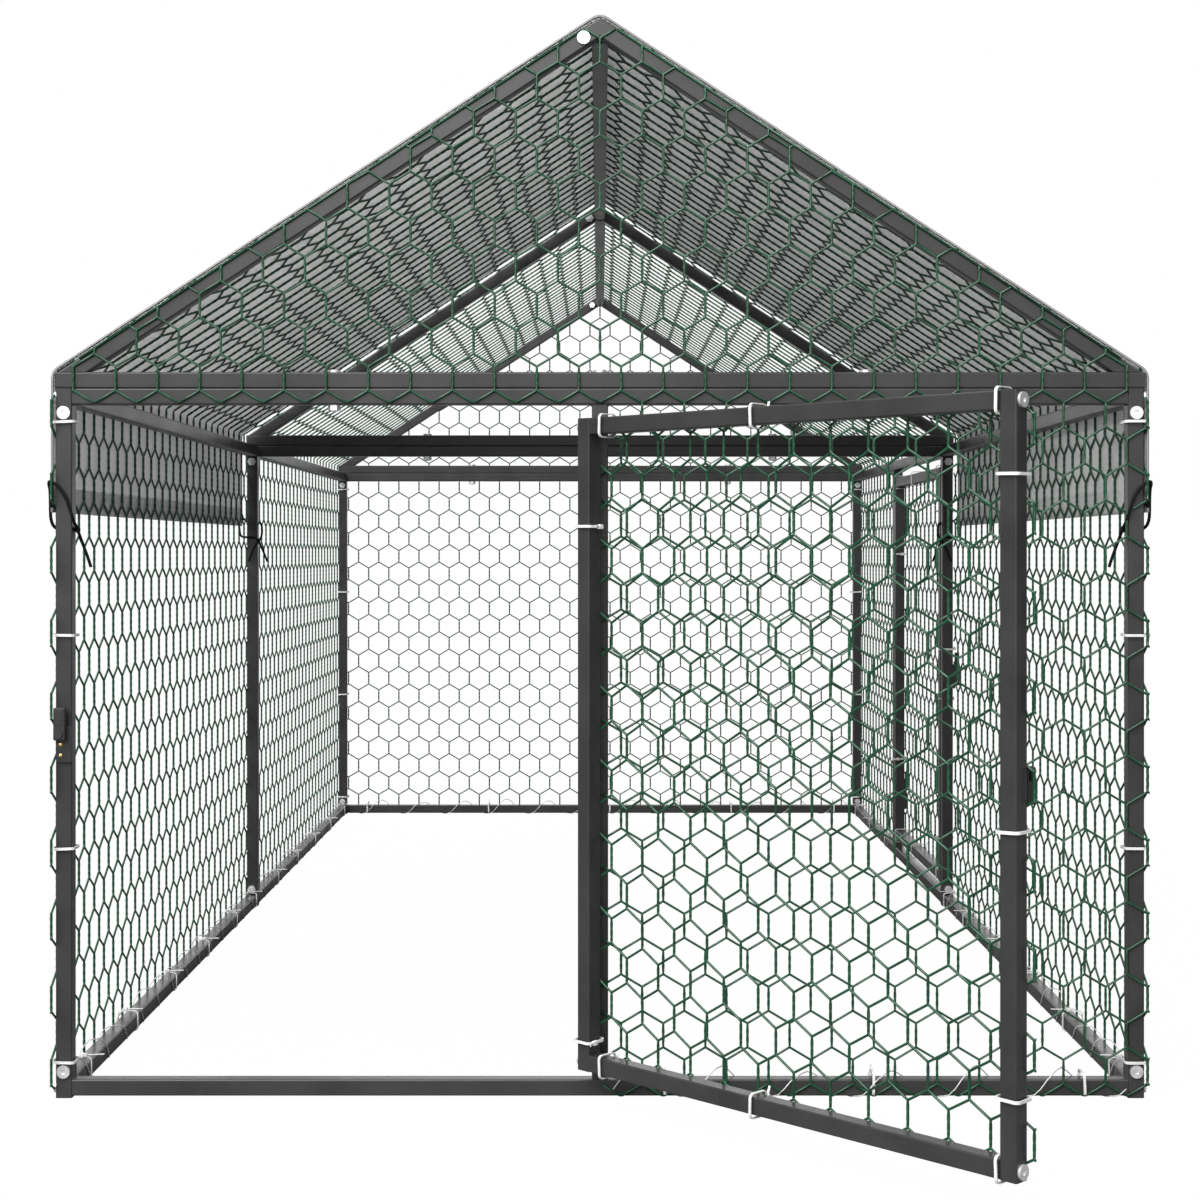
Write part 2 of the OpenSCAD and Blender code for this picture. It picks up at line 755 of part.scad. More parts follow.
module cord(route) {
  last = len(route) - 1;
  points = [for (k = [0 : last]) each ring(route[k], heading(route, k))];
  sides = [
    for (k = [0 : last - 1], s = [0 : cord_sides - 1])
      let (
        a = k * cord_sides + s,
        b = k * cord_sides + (s + 1) % cord_sides
      )
      each [[a, b, b + cord_sides], [a, b + cord_sides, a + cord_sides]]
  ];
  first_cap = [for (s = [cord_sides - 1 : -1 : 0]) s];
  last_cap = [for (s = [0 : cord_sides - 1]) last * cord_sides + s];
  polyhedron(points, concat(sides, [first_cap, last_cap]));
}

// Cord tied round a post: the route is drawn for the right-hand side
module tie_cord(side, frame, route) {
  color(black) in_run() mirror([side > 0 ? 0 : 1, 0, 0])
    translate([half_w, frame_y[frame], hem_z]) cord(route);
}

front_bay_passes = [front_cord_pass, [frame_y[1], 0] + mid_cord_passes[0]];
rear_bay_passes = [[frame_y[1], 0] + mid_cord_passes[1]];

post(-1, 0, true);  // front_left_post
post(1, 0, true);  // front_right_post
post(-1, 1, false);  // mid_left_post
post(1, 1, false);  // mid_right_post
post(-1, 2, true);  // rear_left_post
post(1, 2, true);  // rear_right_post
door_post(0, 0);  // front_door_post
door_post(post_x, side_post_y);  // side_door_post
wall_beam(0, true);  // front_wall_beam
wall_beam(1, false);  // mid_wall_beam
wall_beam(2, false);  // rear_wall_beam
truss_tie(0, true);  // front_truss_tie
truss_tie(1, false);  // mid_truss_tie
truss_tie(2, false);  // rear_truss_tie
rafters(0);  // front_rafters
rafters(1);  // mid_rafters
rafters(2);  // rear_rafters
ridge_tubes();
cross_rail(0, true);  // front_bottom_rail
cross_rail(2, false);  // rear_bottom_rail
side_rails(-1, beam_z, -1, false);  // left_top_rails
side_rails(1, beam_z, -1, true);  // right_top_rails
side_rails(-1, rail_lift, 1, false);  // left_bottom_rails
side_rails(1, rail_lift, 1, true);  // right_bottom_rails
front_door_swing() door_stiles(front_door_w);  // front_door_stiles
front_door_swing() door_rails(front_door_w);  // front_door_rails
side_doorway() door_stiles(side_door_w);  // side_door_stiles
side_doorway() door_rails(side_door_w);  // side_door_rails
side_net(-1, tube_w, frame_y[1], front_bay_passes);  // left_front_net
side_net(-1, frame_y[1] + tube_w, frame_y[2], rear_bay_passes);  // left_rear_net
side_net(1, tube_w, frame_y[1], front_bay_passes);  // right_front_net
side_net(1, side_post_y + tube_w, frame_y[2]);  // right_rear_net
roof_net(-1);  // left_roof_net
roof_net(1);  // right_roof_net
gable_net();
front_net();
rear_net();
front_door_swing() door_net(front_door_w);  // front_door_net
side_doorway() door_net(side_door_w);  // side_door_net
cover();
front_doorway() hinge_post_leaves();  // front_hinge_post_leaves
front_door_swing() hinge_door_leaves();  // front_hinge_door_leaves
side_doorway() hinge_post_leaves();  // side_hinge_post_leaves
side_doorway() hinge_door_leaves();  // side_hinge_door_leaves
front_doorway() latch_plate(front_opening);  // front_latch_plate
front_doorway() latch_lever(front_opening);  // front_latch_lever
front_door_swing() keeper(front_door_w);  // front_keeper
side_doorway() latch_plate(side_opening);  // side_latch_plate
side_doorway() latch_lever(side_opening);  // side_latch_lever
side_doorway() keeper(side_door_w);  // side_keeper
latch_rivets();
frame_bolts();
frame_nuts();
front_door_swing() door_bolts(front_door_w);  // front_door_bolts
side_doorway() door_bolts(side_door_w);  // side_door_bolts
tie_cord(-1, 0, front_cord_route);  // front_left_cord
tie_cord(1, 0, front_cord_route);  // front_right_cord
tie_cord(-1, 1, mid_cord_route);  // mid_left_cord
tie_cord(1, 1, mid_cord_route);  // mid_right_cord
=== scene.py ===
import json
import math

import bmesh
import bpy
from mathutils import Matrix, Vector


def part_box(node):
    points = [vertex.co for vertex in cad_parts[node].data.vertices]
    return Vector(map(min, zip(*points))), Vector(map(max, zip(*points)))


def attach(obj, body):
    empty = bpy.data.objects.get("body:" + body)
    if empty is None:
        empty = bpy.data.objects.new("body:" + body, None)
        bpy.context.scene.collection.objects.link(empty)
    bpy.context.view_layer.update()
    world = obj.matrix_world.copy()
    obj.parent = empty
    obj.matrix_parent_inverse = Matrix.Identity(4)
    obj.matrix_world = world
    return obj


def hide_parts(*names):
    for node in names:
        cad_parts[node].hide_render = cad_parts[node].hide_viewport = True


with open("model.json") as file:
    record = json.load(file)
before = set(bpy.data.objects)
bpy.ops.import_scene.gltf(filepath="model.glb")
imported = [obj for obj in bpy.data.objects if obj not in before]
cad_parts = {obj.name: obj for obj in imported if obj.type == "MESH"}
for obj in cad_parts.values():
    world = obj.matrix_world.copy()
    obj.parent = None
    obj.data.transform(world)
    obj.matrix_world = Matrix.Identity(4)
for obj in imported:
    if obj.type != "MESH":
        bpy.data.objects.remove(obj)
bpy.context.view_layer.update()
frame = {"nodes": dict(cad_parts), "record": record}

# Viewpoint: square on to the front and level, a little above half the run's height,
# from under two metres away. The lens is shifted so that the whole front fills the frame.
front_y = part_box("front_left_post")[0].y
eye_back, eye_height = 1.8305, 0.5016
camera = bpy.data.objects.new("camera", bpy.data.cameras.new("camera"))
camera.location = (0, front_y - eye_back, eye_height)
camera.rotation_euler = (math.radians(90), 0, 0)
camera.data.sensor_width = 36
camera.data.lens = 59.8
camera.data.shift_y = -0.04
bpy.context.scene.collection.objects.link(camera)
bpy.context.scene.camera = camera

# Studio: a pale floor under a white sky. The floor glows most of the way to white for the
# lens and takes the run's soft shadow over the rest. The sky is dimmer to the right, except
# where glossy tubes mirror what is ahead of them or behind.
floor_glow = 0.96
floor_size = 40


def feed(tree, socket, value):
    """Sets a node's input to a value or to another node's output."""
    if isinstance(value, bpy.types.NodeSocket):
        tree.links.new(value, socket)
    else:
        socket.default_value = value


def put(tree, kind, settings=None, **inputs):
    """Adds a shader node with its settings, and feeds its inputs by name."""
    made = tree.nodes.new("ShaderNode" + kind)
    for name, value in (settings or {}).items():
        setattr(made, name, value)
    for name, value in inputs.items():
        feed(tree, made.inputs[name.replace("_", " ")], value)
    return made


def combine(tree, operation, *terms):
    """The output of a new Math node, fed with its terms in order."""
    made = put(tree, "Math", {"operation": operation})
    for k, term in enumerate(terms):
        feed(tree, made.inputs[k], term)
    return made.outputs[0]


def seen_ray(tree, path):
    """A value of 1 for rays from the lens and for rays through a clear surface."""
    return combine(tree, "MAXIMUM", path.outputs["Is Camera Ray"],
                   path.outputs["Is Transmission Ray"])


def blank_material(name):
    """A new material with an empty tree, and its output node."""
    material = bpy.data.materials.new(name)
    material.use_nodes = True
    material.node_tree.nodes.clear()
    return material, material.node_tree, put(material.node_tree, "OutputMaterial")


floor_white, tree, output = blank_material("floor_white")
coat = put(tree, "BsdfDiffuse", Color=(0.22, 0.22, 0.22, 1))
glow = put(tree, "Emission", Color=(1, 1, 1, 1), Strength=1.03)
share = combine(tree, "MULTIPLY", seen_ray(tree, put(tree, "LightPath")), floor_glow)
mix = put(tree, "MixShader", Fac=share)
tree.links.new(coat.outputs[0], mix.inputs[1])
tree.links.new(glow.outputs[0], mix.inputs[2])
tree.links.new(mix.outputs[0], output.inputs["Surface"])

bm = bmesh.new()
bmesh.ops.create_grid(bm, x_segments=1, y_segments=1, size=floor_size / 2)
floor = bpy.data.objects.new("floor", bpy.data.meshes.new("floor"))
bm.to_mesh(floor.data)
bm.free()
floor.data.materials.append(floor_white)
bpy.context.scene.collection.objects.link(floor)

sky = bpy.data.worlds.new("sky")
sky.use_nodes = True
tree = sky.node_tree
tree.nodes.clear()
path = put(tree, "LightPath")
facing = put(tree, "SeparateXYZ", Vector=put(tree, "TexCoord").outputs["Generated"])
depth = combine(tree, "ABSOLUTE", facing.outputs["Y"])
side = put(tree, "MapRange", Value=facing.outputs["X"], From_Min=-0.8, From_Max=0.8,
           To_Min=0.45, To_Max=0.12)
lift = put(tree, "MapRange", Value=facing.outputs["Z"], From_Min=0.02, From_Max=0.2,
           To_Min=0.8, To_Max=1.8)
mirrored = put(tree, "MapRange", Value=depth, From_Min=0.5,
               To_Min=side.outputs[0], To_Max=lift.outputs[0])
dim = put(tree, "MapRange", Value=path.outputs["Is Glossy Ray"],
          To_Min=side.outputs[0], To_Max=mirrored.outputs[0])
brightness = put(tree, "MapRange", Value=seen_ray(tree, path), To_Min=dim.outputs[0], To_Max=1.0)
white = put(tree, "Background", Color=(1, 1, 1, 1), Strength=brightness.outputs[0])
tree.links.new(white.outputs[0], put(tree, "OutputWorld").inputs["Surface"])
bpy.context.scene.world = sky
bpy.context.scene.view_settings.view_transform = "Standard"

for name, turn, strength, spread in (
    ("key_light", (56, 0, -36), 2.3, 40),
    ("top_light", (12, 0, 20), 2.4, 90),
):
    lamp = bpy.data.objects.new(name, bpy.data.lights.new(name, "SUN"))
    lamp.data.energy = strength
    lamp.data.angle = math.radians(spread)
    lamp.rotation_euler = [math.radians(a) for a in turn]
    bpy.context.scene.collection.objects.link(lamp)
front_light = bpy.data.objects.new("front_light", bpy.data.lights.new("front_light", "AREA"))
front_light.data.size = 1.2
front_light.data.energy = 17
front_light.location = (-0.5, front_y - 1.3, 1.7)
lit_middle = Vector((0, front_y, 0.75))
light_aim = lit_middle - front_light.location
front_light.rotation_euler = light_aim.to_track_quat("-Z", "Y").to_euler()
bpy.context.scene.collection.objects.link(front_light)

# Frame: square steel tube, welded tabs and plates, powder-coated charcoal grey with a fine
# orange-peel grain, bolted together at the corners. Its solids are exact, so they stay.
coat_dark, coat_light = (0.024, 0.0235, 0.0235, 1), (0.038, 0.0375, 0.0375, 1)
dust_grey = (0.13, 0.125, 0.118, 1)


def surface_group(name, build, inputs, outputs):
    """A shader node group; build adds its nodes and returns the sockets that it puts out."""
    group = bpy.data.node_groups.new(name, "ShaderNodeTree")
    for label, kind, value in inputs:
        socket = group.interface.new_socket(label, in_out="INPUT", socket_type="NodeSocket" + kind)
        if value is not None:
            socket.default_value = value
    for label, kind in outputs:
        group.interface.new_socket(label, in_out="OUTPUT", socket_type="NodeSocket" + kind)
    source = group.nodes.new("NodeGroupInput")
    target = group.nodes.new("NodeGroupOutput")
    for k, socket in enumerate(build(group, source.outputs)):
        group.links.new(socket, target.inputs[k])
    return group


def build_mottle(tree, given):
    """Broad patches and a fine grain over a coated or cast surface."""
    patches = put(tree, "TexNoise", Vector=given["Vector"], Scale=given["Patch Scale"], Detail=5.0)
    grain = put(tree, "TexNoise", Vector=given["Vector"], Scale=given["Grain Scale"], Detail=2.0)
    tone = put(tree, "MapRange", Value=patches.outputs[0], From_Min=0.3, From_Max=0.7)
    grain_share = 0.35
    blended = combine(tree, "MULTIPLY_ADD", grain.outputs[0], grain_share, tone.outputs[0])
    return blended, grain.outputs[0]


mottle = surface_group(
    "mottle", build_mottle,
    [("Vector", "Vector", None), ("Patch Scale", "Float", 20.0), ("Grain Scale", "Float", 900.0)],
    [("Tone", "Float"), ("Grain", "Float")],
)


def build_splash(tree, given):
    """Dust that soil and rain leave on the lowest part, in an uneven line."""
    height = put(tree, "SeparateXYZ", Vector=given["Vector"])
    ragged = put(tree, "TexNoise", Vector=given["Vector"], Scale=24.0, Detail=4.0)
    unevenness = -0.12
    line = combine(tree, "MULTIPLY_ADD", ragged.outputs[0], unevenness, height.outputs["Z"])
    mask = put(tree, "MapRange", Value=line, From_Min=-0.09, From_Max=0.03, To_Min=0.1, To_Max=0.0)
    return (mask.outputs[0],)


splash = surface_group("splash", build_splash, [("Vector", "Vector", None)], [("Dust", "Float")])


def coated(name, dark, light, rough, metal=0.0, shine=0.5, patch=20.0, grain=900.0,
           depth=0.00006, dusty=False):
    """A material for a coated, plated or moulded surface: two tones, a grain and its gloss."""
    material, tree, output = blank_material(name)
    place = put(tree, "TexCoord").outputs["Object"]
    finish = put(tree, "Group", {"node_tree": mottle}, Vector=place, Patch_Scale=patch,
                 Grain_Scale=grain)
    colour = put(tree, "MixRGB", Fac=finish.outputs["Tone"], Color1=dark, Color2=light).outputs[0]
    if dusty:
        dust = put(tree, "Group", {"node_tree": splash}, Vector=place).outputs["Dust"]
        colour = put(tree, "MixRGB", Fac=dust, Color1=colour, Color2=dust_grey).outputs[0]
    gloss = put(tree, "MapRange", Value=finish.outputs["Tone"], To_Min=rough[0], To_Max=rough[1])
    bump = put(tree, "Bump", Strength=0.35, Distance=depth, Height=finish.outputs["Grain"])
    skin = put(tree, "BsdfPrincipled", Base_Color=colour, Metallic=metal, Specular_IOR_Level=shine,
               Roughness=gloss.outputs[0], Normal=bump.outputs[0])
    tree.links.new(skin.outputs[0], output.inputs["Surface"])
    return material


def dress(material, *nodes):
    """Gives CAD nodes a material."""
    for name in nodes:
        data = frame["nodes"][name].data
        data.materials.clear()
        data.materials.append(material)


powder_coat = coated("powder_coat", coat_dark, coat_light, (0.25, 0.34), shine=0.45,
                     depth=0.00002, dusty=True)
dress(
    powder_coat,
    "front_left_post", "front_right_post", "mid_left_post", "mid_right_post", "rear_left_post",
    "rear_right_post", "front_door_post", "side_door_post", "front_wall_beam", "mid_wall_beam",
    "rear_wall_beam", "front_truss_tie", "mid_truss_tie", "rear_truss_tie", "front_rafters",
    "mid_rafters", "rear_rafters", "ridge_tubes", "front_bottom_rail", "rear_bottom_rail",
    "left_top_rails", "right_top_rails", "left_bottom_rails", "right_bottom_rails",
    "front_door_stiles", "front_door_rails", "side_door_stiles", "side_door_rails",
)

# Netting: hexagonal wire netting, two galvanised wires twisted round each other up each cell's
# side, dipped in green plastic. It lies on the tubes' outer faces and laps over the posts.
cell = 0.038667
cell_side = cell / math.sqrt(3)
row_pitch = 1.5 * cell_side
wire_r, twist_r, wire_sides = 0.00115, 0.00028, 5
twist_turns, twist_steps = 1.5, 6
net_out, weld = 0.0015, 0.00002
net_normal = Vector((0, -1, 0))

net_green = coated("net_green", (0.0035, 0.04, 0.018, 1), (0.0095, 0.08, 0.037, 1), (0.2, 0.32),
                   patch=30.0, grain=1500.0, depth=0.00004)


def new_piece(name, bm, material, body, nodes=(), smooth=True):
    """Makes a piece from a finished bmesh, gives it its material and body, and hides the CAD nodes
    that it replaces.
    """
    piece = bpy.data.objects.new(name, bpy.data.meshes.new(name))
    bm.to_mesh(piece.data)
    bm.free()
    piece.data.materials.append(material)
    if smooth:
        piece.data.shade_smooth()
    bpy.context.scene.collection.objects.link(piece)
    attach(piece, body)
    if nodes:
        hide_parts(*nodes)
    return piece


def edges_of(corners):
    """The edges that meet a list of vertices, each once and in order."""
    return list(dict.fromkeys(e for v in corners for e in v.link_edges))


def draw_wire(bm, path, radius, sides, hint, capped=True):
    """A round wire along a path of points; hint is a direction that the path never follows."""
    ring, before = [], None
    for k, point in enumerate(path):
        along = (path[min(k + 1, len(path) - 1)] - path[max(k - 1, 0)]).normalized()
        across = along.cross(hint).normalized()
        turn = Matrix((across, along.cross(across), along)).transposed().to_4x4()
        place = Matrix.Translation(point) @ turn
        if before is None:
            corners = bmesh.ops.create_circle(bm, segments=sides, radius=radius, matrix=place,
                                              cap_ends=capped)["verts"]
            ring = edges_of(corners)
        else:
            grown = bmesh.ops.extrude_edge_only(bm, edges=ring)["geom"]
            corners = [g for g in grown if isinstance(g, bmesh.types.BMVert)]
            far = set(corners)
            ring = [g for g in grown
                    if isinstance(g, bmesh.types.BMEdge) and far.issuperset(g.verts)]
            bmesh.ops.transform(bm, matrix=place @ before.inverted(), verts=corners)
        before = place
    if capped:
        bmesh.ops.contextual_create(bm, geom=ring)


def net_strand(hand, middle):
    """One wire of a twisted pair, from the middle of one slanted run to the middle of the next."""
    foot = Vector((-hand * cell / 4, 0, -0.75 * cell_side))
    path = [middle + foot]
    for k in range(twist_steps + 1):
        turn = 2 * math.pi * twist_turns * k / twist_steps
        path.append(middle + Vector((
            -hand * twist_r * math.cos(turn),
            -hand * twist_r * math.sin(turn),
            cell_side * (k / twist_steps - 0.5),
        )))
    path.append(middle - foot)
    return path


bm = bmesh.new()
for middle in (Vector(), Vector((cell / 2, 0, row_pitch))):
    for hand in (1, -1):
        draw_wire(bm, net_strand(hand, middle), wire_r, wire_sides, net_normal, capped=False)
bmesh.ops.recalc_face_normals(bm, faces=bm.faces[:])
net_unit = bpy.data.meshes.new("net_unit")
bm.to_mesh(net_unit)
bm.free()


def flat_net(low, high, origin):
    """Netting in the XZ plane over a box, with the middle of a twisted pair at origin."""
    steps = (cell, 2 * row_pitch)
    first = [math.floor((low[k] - origin[k]) / steps[k]) - 1 for k in (0, 1)]
    count = [math.ceil((high[k] - low[k]) / steps[k]) + 3 for k in (0, 1)]
    cloth = bpy.data.objects.new("net_cloth", net_unit)
    bpy.context.scene.collection.objects.link(cloth)
    for number, step in ((count[0], (steps[0], 0, 0)), (count[1], (0, 0, steps[1]))):
        repeat = cloth.modifiers.new("repeat", "ARRAY")
        repeat.count = number
        repeat.use_relative_offset = False
        repeat.use_constant_offset = True
        repeat.constant_offset_displace = step
        repeat.use_merge_vertices = True
        repeat.merge_threshold = weld
    woven = cloth.evaluated_get(bpy.context.evaluated_depsgraph_get()).to_mesh()
    bm = bmesh.new()
    bm.from_mesh(woven)
    bpy.data.objects.remove(cloth)
    bmesh.ops.remove_doubles(bm, verts=bm.verts[:], dist=weld)
    shift = Vector((origin[0] + first[0] * steps[0], 0, origin[1] + first[1] * steps[1]))
    bmesh.ops.translate(bm, vec=shift, verts=bm.verts[:])
    return bm


def trim(bm, point, normal):
    """Cuts netting along a line and takes away what lies beyond it."""
    bmesh.ops.bisect_plane(bm, geom=bm.verts[:] + bm.edges[:] + bm.faces[:],
                           plane_co=point, plane_no=normal, clear_outer=True)


def net_panel(name, outline, origin, place, body="run_frame", selvedges=()):
    """A net cut to a convex outline, drawn anticlockwise in X and Z, with its edge wires."""
    low = [min(p[k] for p in outline) for k in (0, 1)]
    high = [max(p[k] for p in outline) for k in (0, 1)]
    bm = flat_net(low, high, origin)
    for k, (x, z) in enumerate(outline):
        next_x, next_z = outline[(k + 1) % len(outline)]
        trim(bm, (x, 0, z), (next_z - z, 0, x - next_x))
    bmesh.ops.holes_fill(bm, edges=[e for e in bm.edges if e.is_boundary], sides=0)
    for ends in selvedges:
        edge = [Vector((x, 0, z)) for x, z in ends]
        draw_wire(bm, edge, wire_r, wire_sides, net_normal)
    bmesh.ops.transform(bm, matrix=place, verts=bm.verts[:])
    return new_piece(name, bm, net_green, body, [name.replace("_wire", "_net")])


def box_outline(low_x, high_x, low_z, high_z):
    """The outline of an upright rectangle."""
    return [(low_x, low_z), (high_x, low_z), (high_x, high_z), (low_x, high_z)]


low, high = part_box("front_left_post")
tube = high.x - low.x
half_w = -low.x
rear_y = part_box("rear_left_post")[1].y
mid_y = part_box("mid_left_post")[0].y
tie_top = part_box("front_truss_tie")[1].z
apex_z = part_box("front_rafters")[1].z
side_door_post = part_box("side_door_post")
pitch = math.atan2(apex_z - tie_top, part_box("front_rafters")[1].x)
# Rows of twists count down from the one on the front beam, where the gable's net meets the wall's.
# Upright edges are cut just past a twisted pair, so that the pair stays whole.
first_row, rows_down, cut_past = 0.6274, 19, 0.0001
net_split = first_row + cell_side / 2
net_foot = first_row - rows_down * row_pitch + cell_side / 2 - cut_past
front_net_start, front_pair_out, pair_out = 0.0012, 0.0016, 0.0013
front_edge = 13 * cell + front_pair_out
gable_edge = 12.5 * cell + pair_out
rafter_drop, rafter_wire_ends = 0.001, (0.478, 0.0165)
rafter_line = apex_z - rafter_drop


def under_rafter(x):
    """A point on the line just under the rafters' tops."""
    return x, rafter_line - abs(x) * math.tan(pitch)


def gabled_outline(edge, foot):
    """The outline of a net with upright sides, cut along both rafters."""
    return [(-edge, foot), (edge, foot), under_rafter(edge), under_rafter(0), under_rafter(-edge)]


front_place = Matrix.Translation((0, front_y - net_out, 0))
rear_place = Matrix.Translation((0, rear_y + net_out, 0))
net_panel("front_wire", box_outline(front_net_start, front_edge, net_foot, net_split),
          (0, first_row), front_place)
rafter_edges = [[under_rafter(hand * x) for x in rafter_wire_ends] for hand in (-1, 1)]
net_panel("gable_wire", gabled_outline(gable_edge, net_split), (0, first_row), front_place,
          selvedges=rafter_edges)
net_panel("rear_wire", gabled_outline(front_edge, net_foot), (0, first_row), rear_place,
          selvedges=rafter_edges)

# The side strips stand outside the posts; others lie on the rafters from each eave to the ridge.
net_x = half_w + net_out
eave_z = apex_z + net_out / math.cos(pitch) - net_x * math.tan(pitch)
slope = net_x / math.cos(pitch)
side_rise, bay_lap, door_post_share = 0.001, 0.001, 0.6
roof_front_gap, ridge_gap = 0.002, 0.004
side_row = first_row + side_rise
for side, hand, front_start, rear_start, roof_start, roof_row in (
    ("left", -1, -0.0088, 0.0212, 0.0075, 0.0736),
    ("right", 1, -0.0047, 0.0307, 0.0325, 0.0896),
):
    upright = Matrix(((0, -hand, 0, hand * net_x), (1, 0, 0, 0), (0, 0, 1, 0), (0, 0, 0, 1)))
    strip_start = front_y + front_start
    bay_end = mid_y + (tube / 2 if hand < 0 else bay_lap)
    net_panel(side + "_front_wire", box_outline(strip_start - pair_out, bay_end, net_foot, eave_z),
              (strip_start, side_row), upright)
    rear_edge = bay_end if hand < 0 else side_door_post[0].y + door_post_share * tube
    net_panel(side + "_rear_wire", box_outline(rear_edge, rear_y, net_foot, eave_z),
              (front_y + rear_start, side_row), upright)
    lean = Matrix.Rotation(-hand * (math.pi / 2 - pitch), 4, "Y")
    over = (Matrix.Translation((hand * net_x, 0, eave_z)) @ lean
            @ Matrix.Translation((-hand * net_x, 0, -eave_z)))
    roof = box_outline(front_y + roof_front_gap, rear_y, eave_z, eave_z + slope - ridge_gap)
    net_panel(side + "_roof_wire", roof, (front_y + roof_start, eave_z + roof_row), over @ upright)

# Cover: one sheet of coated woven cloth over the front bay, drawn over the ridge and both eaves
# and hanging to a turned hem on each side. Its front edge ends level with the front frame.
cover_low, cover_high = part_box("cover")
cover_t = 0.0008
cover_gap = 0.0031
bend_r = 0.012
cover_in_x = half_w + cover_gap
cover_ridge = apex_z + cover_gap / math.cos(pitch)
cover_eave = cover_ridge - cover_in_x * math.tan(pitch)


def rounded_route(corners, radius, steps=8):
    """A path of points along straight runs with each inner corner rounded."""
    path = [corners[0]]
    for before, here, after in zip(corners, corners[1:], corners[2:]):
        back, ahead = (before - here).normalized(), (after - here).normalized()
        half = back.angle(ahead) / 2
        reach = radius / math.tan(half)
        centre = here + (back + ahead).normalized() * radius / math.sin(half)
        start, end = here + back * reach - centre, here + ahead * reach - centre
        path += [centre + start.slerp(end, k / steps).normalized() * radius
                 for k in range(steps + 1)]
    return path + [corners[-1]]


cover_line = rounded_route([
    Vector((-cover_in_x, 0, cover_low.z)), Vector((-cover_in_x, 0, cover_eave)),
    Vector((0, 0, cover_ridge)),
    Vector((cover_in_x, 0, cover_eave)), Vector((cover_in_x, 0, cover_low.z)),
], bend_r)
cover_run = [0.0]
for a, b in zip(cover_line, cover_line[1:]):
    cover_run.append(cover_run[-1] + (b - a).length)
cover_width = cover_run[-1]
cover_long = cover_high.y - cover_low.y


def on_cover(across, down, lift=0.0):
    """The place of a point of the flat cover, raised off it by lift."""
    k = max(i for i in range(len(cover_run) - 1) if cover_run[i] <= max(across, 0))
    a, b = cover_line[k], cover_line[k + 1]
    along = (b - a).normalized()
    out = Vector((-along.z, 0, along.x))
    point = a + along * (across - cover_run[k]) + out * lift
    return point + Vector((0, cover_low.y + down, 0))


def cloth_material(name, dark, light, through):
    """A coated weave of crossed tapes on the sheet's flat map, and how far light gets through."""
    material, tree, output = blank_material(name)
    flat = put(tree, "UVMap", {"uv_map": "flat"}).outputs[0]
    tapes = [put(tree, "TexWave", {"bands_direction": way}, Vector=flat, Scale=130.0,
                 Distortion=0.4, Detail=1.0).outputs["Fac"] for way in ("X", "Y")]
    weave = combine(tree, "MAXIMUM", *tapes)
    finish = put(tree, "Group", {"node_tree": mottle}, Vector=flat, Patch_Scale=7.0,
                 Grain_Scale=260.0)
    tone = combine(tree, "MULTIPLY", weave, finish.outputs["Tone"])
    colour = put(tree, "MixRGB", Fac=tone, Color1=dark, Color2=light)
    gloss = put(tree, "MapRange", Value=finish.outputs["Tone"], To_Min=0.5, To_Max=0.68)
    bump = put(tree, "Bump", Strength=0.3, Distance=0.0002, Height=weave)
    skin = put(tree, "BsdfPrincipled", Base_Color=colour.outputs[0], Roughness=gloss.outputs[0],
               Normal=bump.outputs[0], Subsurface_Weight=through, Subsurface_Radius=(1, 1, 1),
               Subsurface_Scale=0.002)
    tree.links.new(skin.outputs[0], output.inputs["Surface"])
    return material


# The inner face takes light through the cloth, and its tone is also painted paler than the
# outer face's to stand in for more of that light; the outer face, which isn't seen, is a mid grey.
cover_inside = cloth_material("cover_inside", (0.7, 0.7, 0.695, 1), (0.88, 0.88, 0.875, 1), 1.0)
cover_outside = cloth_material("cover_outside", (0.33, 0.33, 0.327, 1), (0.45, 0.45, 0.446, 1),
                               0.0)


def cloth_piece(name, across, down, steps, lift, thick):
    """A stretch of the cover between two places across it and two down its length."""
    bm = bmesh.new()
    bmesh.ops.create_grid(bm, x_segments=steps[0], y_segments=steps[1], size=0.5)
    flat = bm.loops.layers.uv.new("flat")
    for v in bm.verts:
        v.co.x = across[0] + (v.co.x + 0.5) * (across[1] - across[0])
        v.co.y = down[0] + (v.co.y + 0.5) * (down[1] - down[0])
    for face in bm.faces:
        for loop in face.loops:
            loop[flat].uv = loop.vert.co.xy
    for v in bm.verts:
        v.co = on_cover(v.co.x, v.co.y, lift)
    bmesh.ops.recalc_face_normals(bm, faces=bm.faces[:])
    nodes = ["cover"] if name == "cover_sheet" else []
    piece = new_piece(name, bm, cover_outside, "run_frame", nodes)
    piece.data.materials.append(cover_inside)
    wall = piece.modifiers.new("thickness", "SOLIDIFY")
    wall.thickness = thick
    wall.offset = 1
    wall.material_offset = 1
    return piece


hem_w, hem_gap, bead_r = 0.024, 0.0001, 0.0012
hem_lift = cover_t + hem_gap
whole_length = (0, cover_long)
cover_sheet = cloth_piece("cover_sheet", (0, cover_width), whole_length, (240, 60), 0, cover_t)
hems = [
    cloth_piece(name, across, whole_length, (4, 60), hem_lift, cover_t)
    for name, across in (
        ("cover_hem_left", (0, hem_w)),
        ("cover_hem_right", (cover_width - hem_w, cover_width)),
    )
]
# The bead's dark grey is painted shade: it stands in for the cover's edge lying in shade.
bead_grey = coated("bead_grey", (0.13, 0.13, 0.13, 1), (0.19, 0.19, 0.19, 1), (0.5, 0.66),
                   patch=40.0, grain=700.0)
for name, down in (("cover_bead_front", bead_r), ("cover_bead_rear", cover_long - bead_r)):
    bm = bmesh.new()
    edge = [on_cover(across, down, bead_r / 2) for across in cover_run]
    draw_wire(bm, edge, bead_r, 8, Vector((0, 1, 0)))
    bmesh.ops.recalc_face_normals(bm, faces=bm.faces[:])
    hems.append(new_piece(name, bm, bead_grey, "run_frame"))

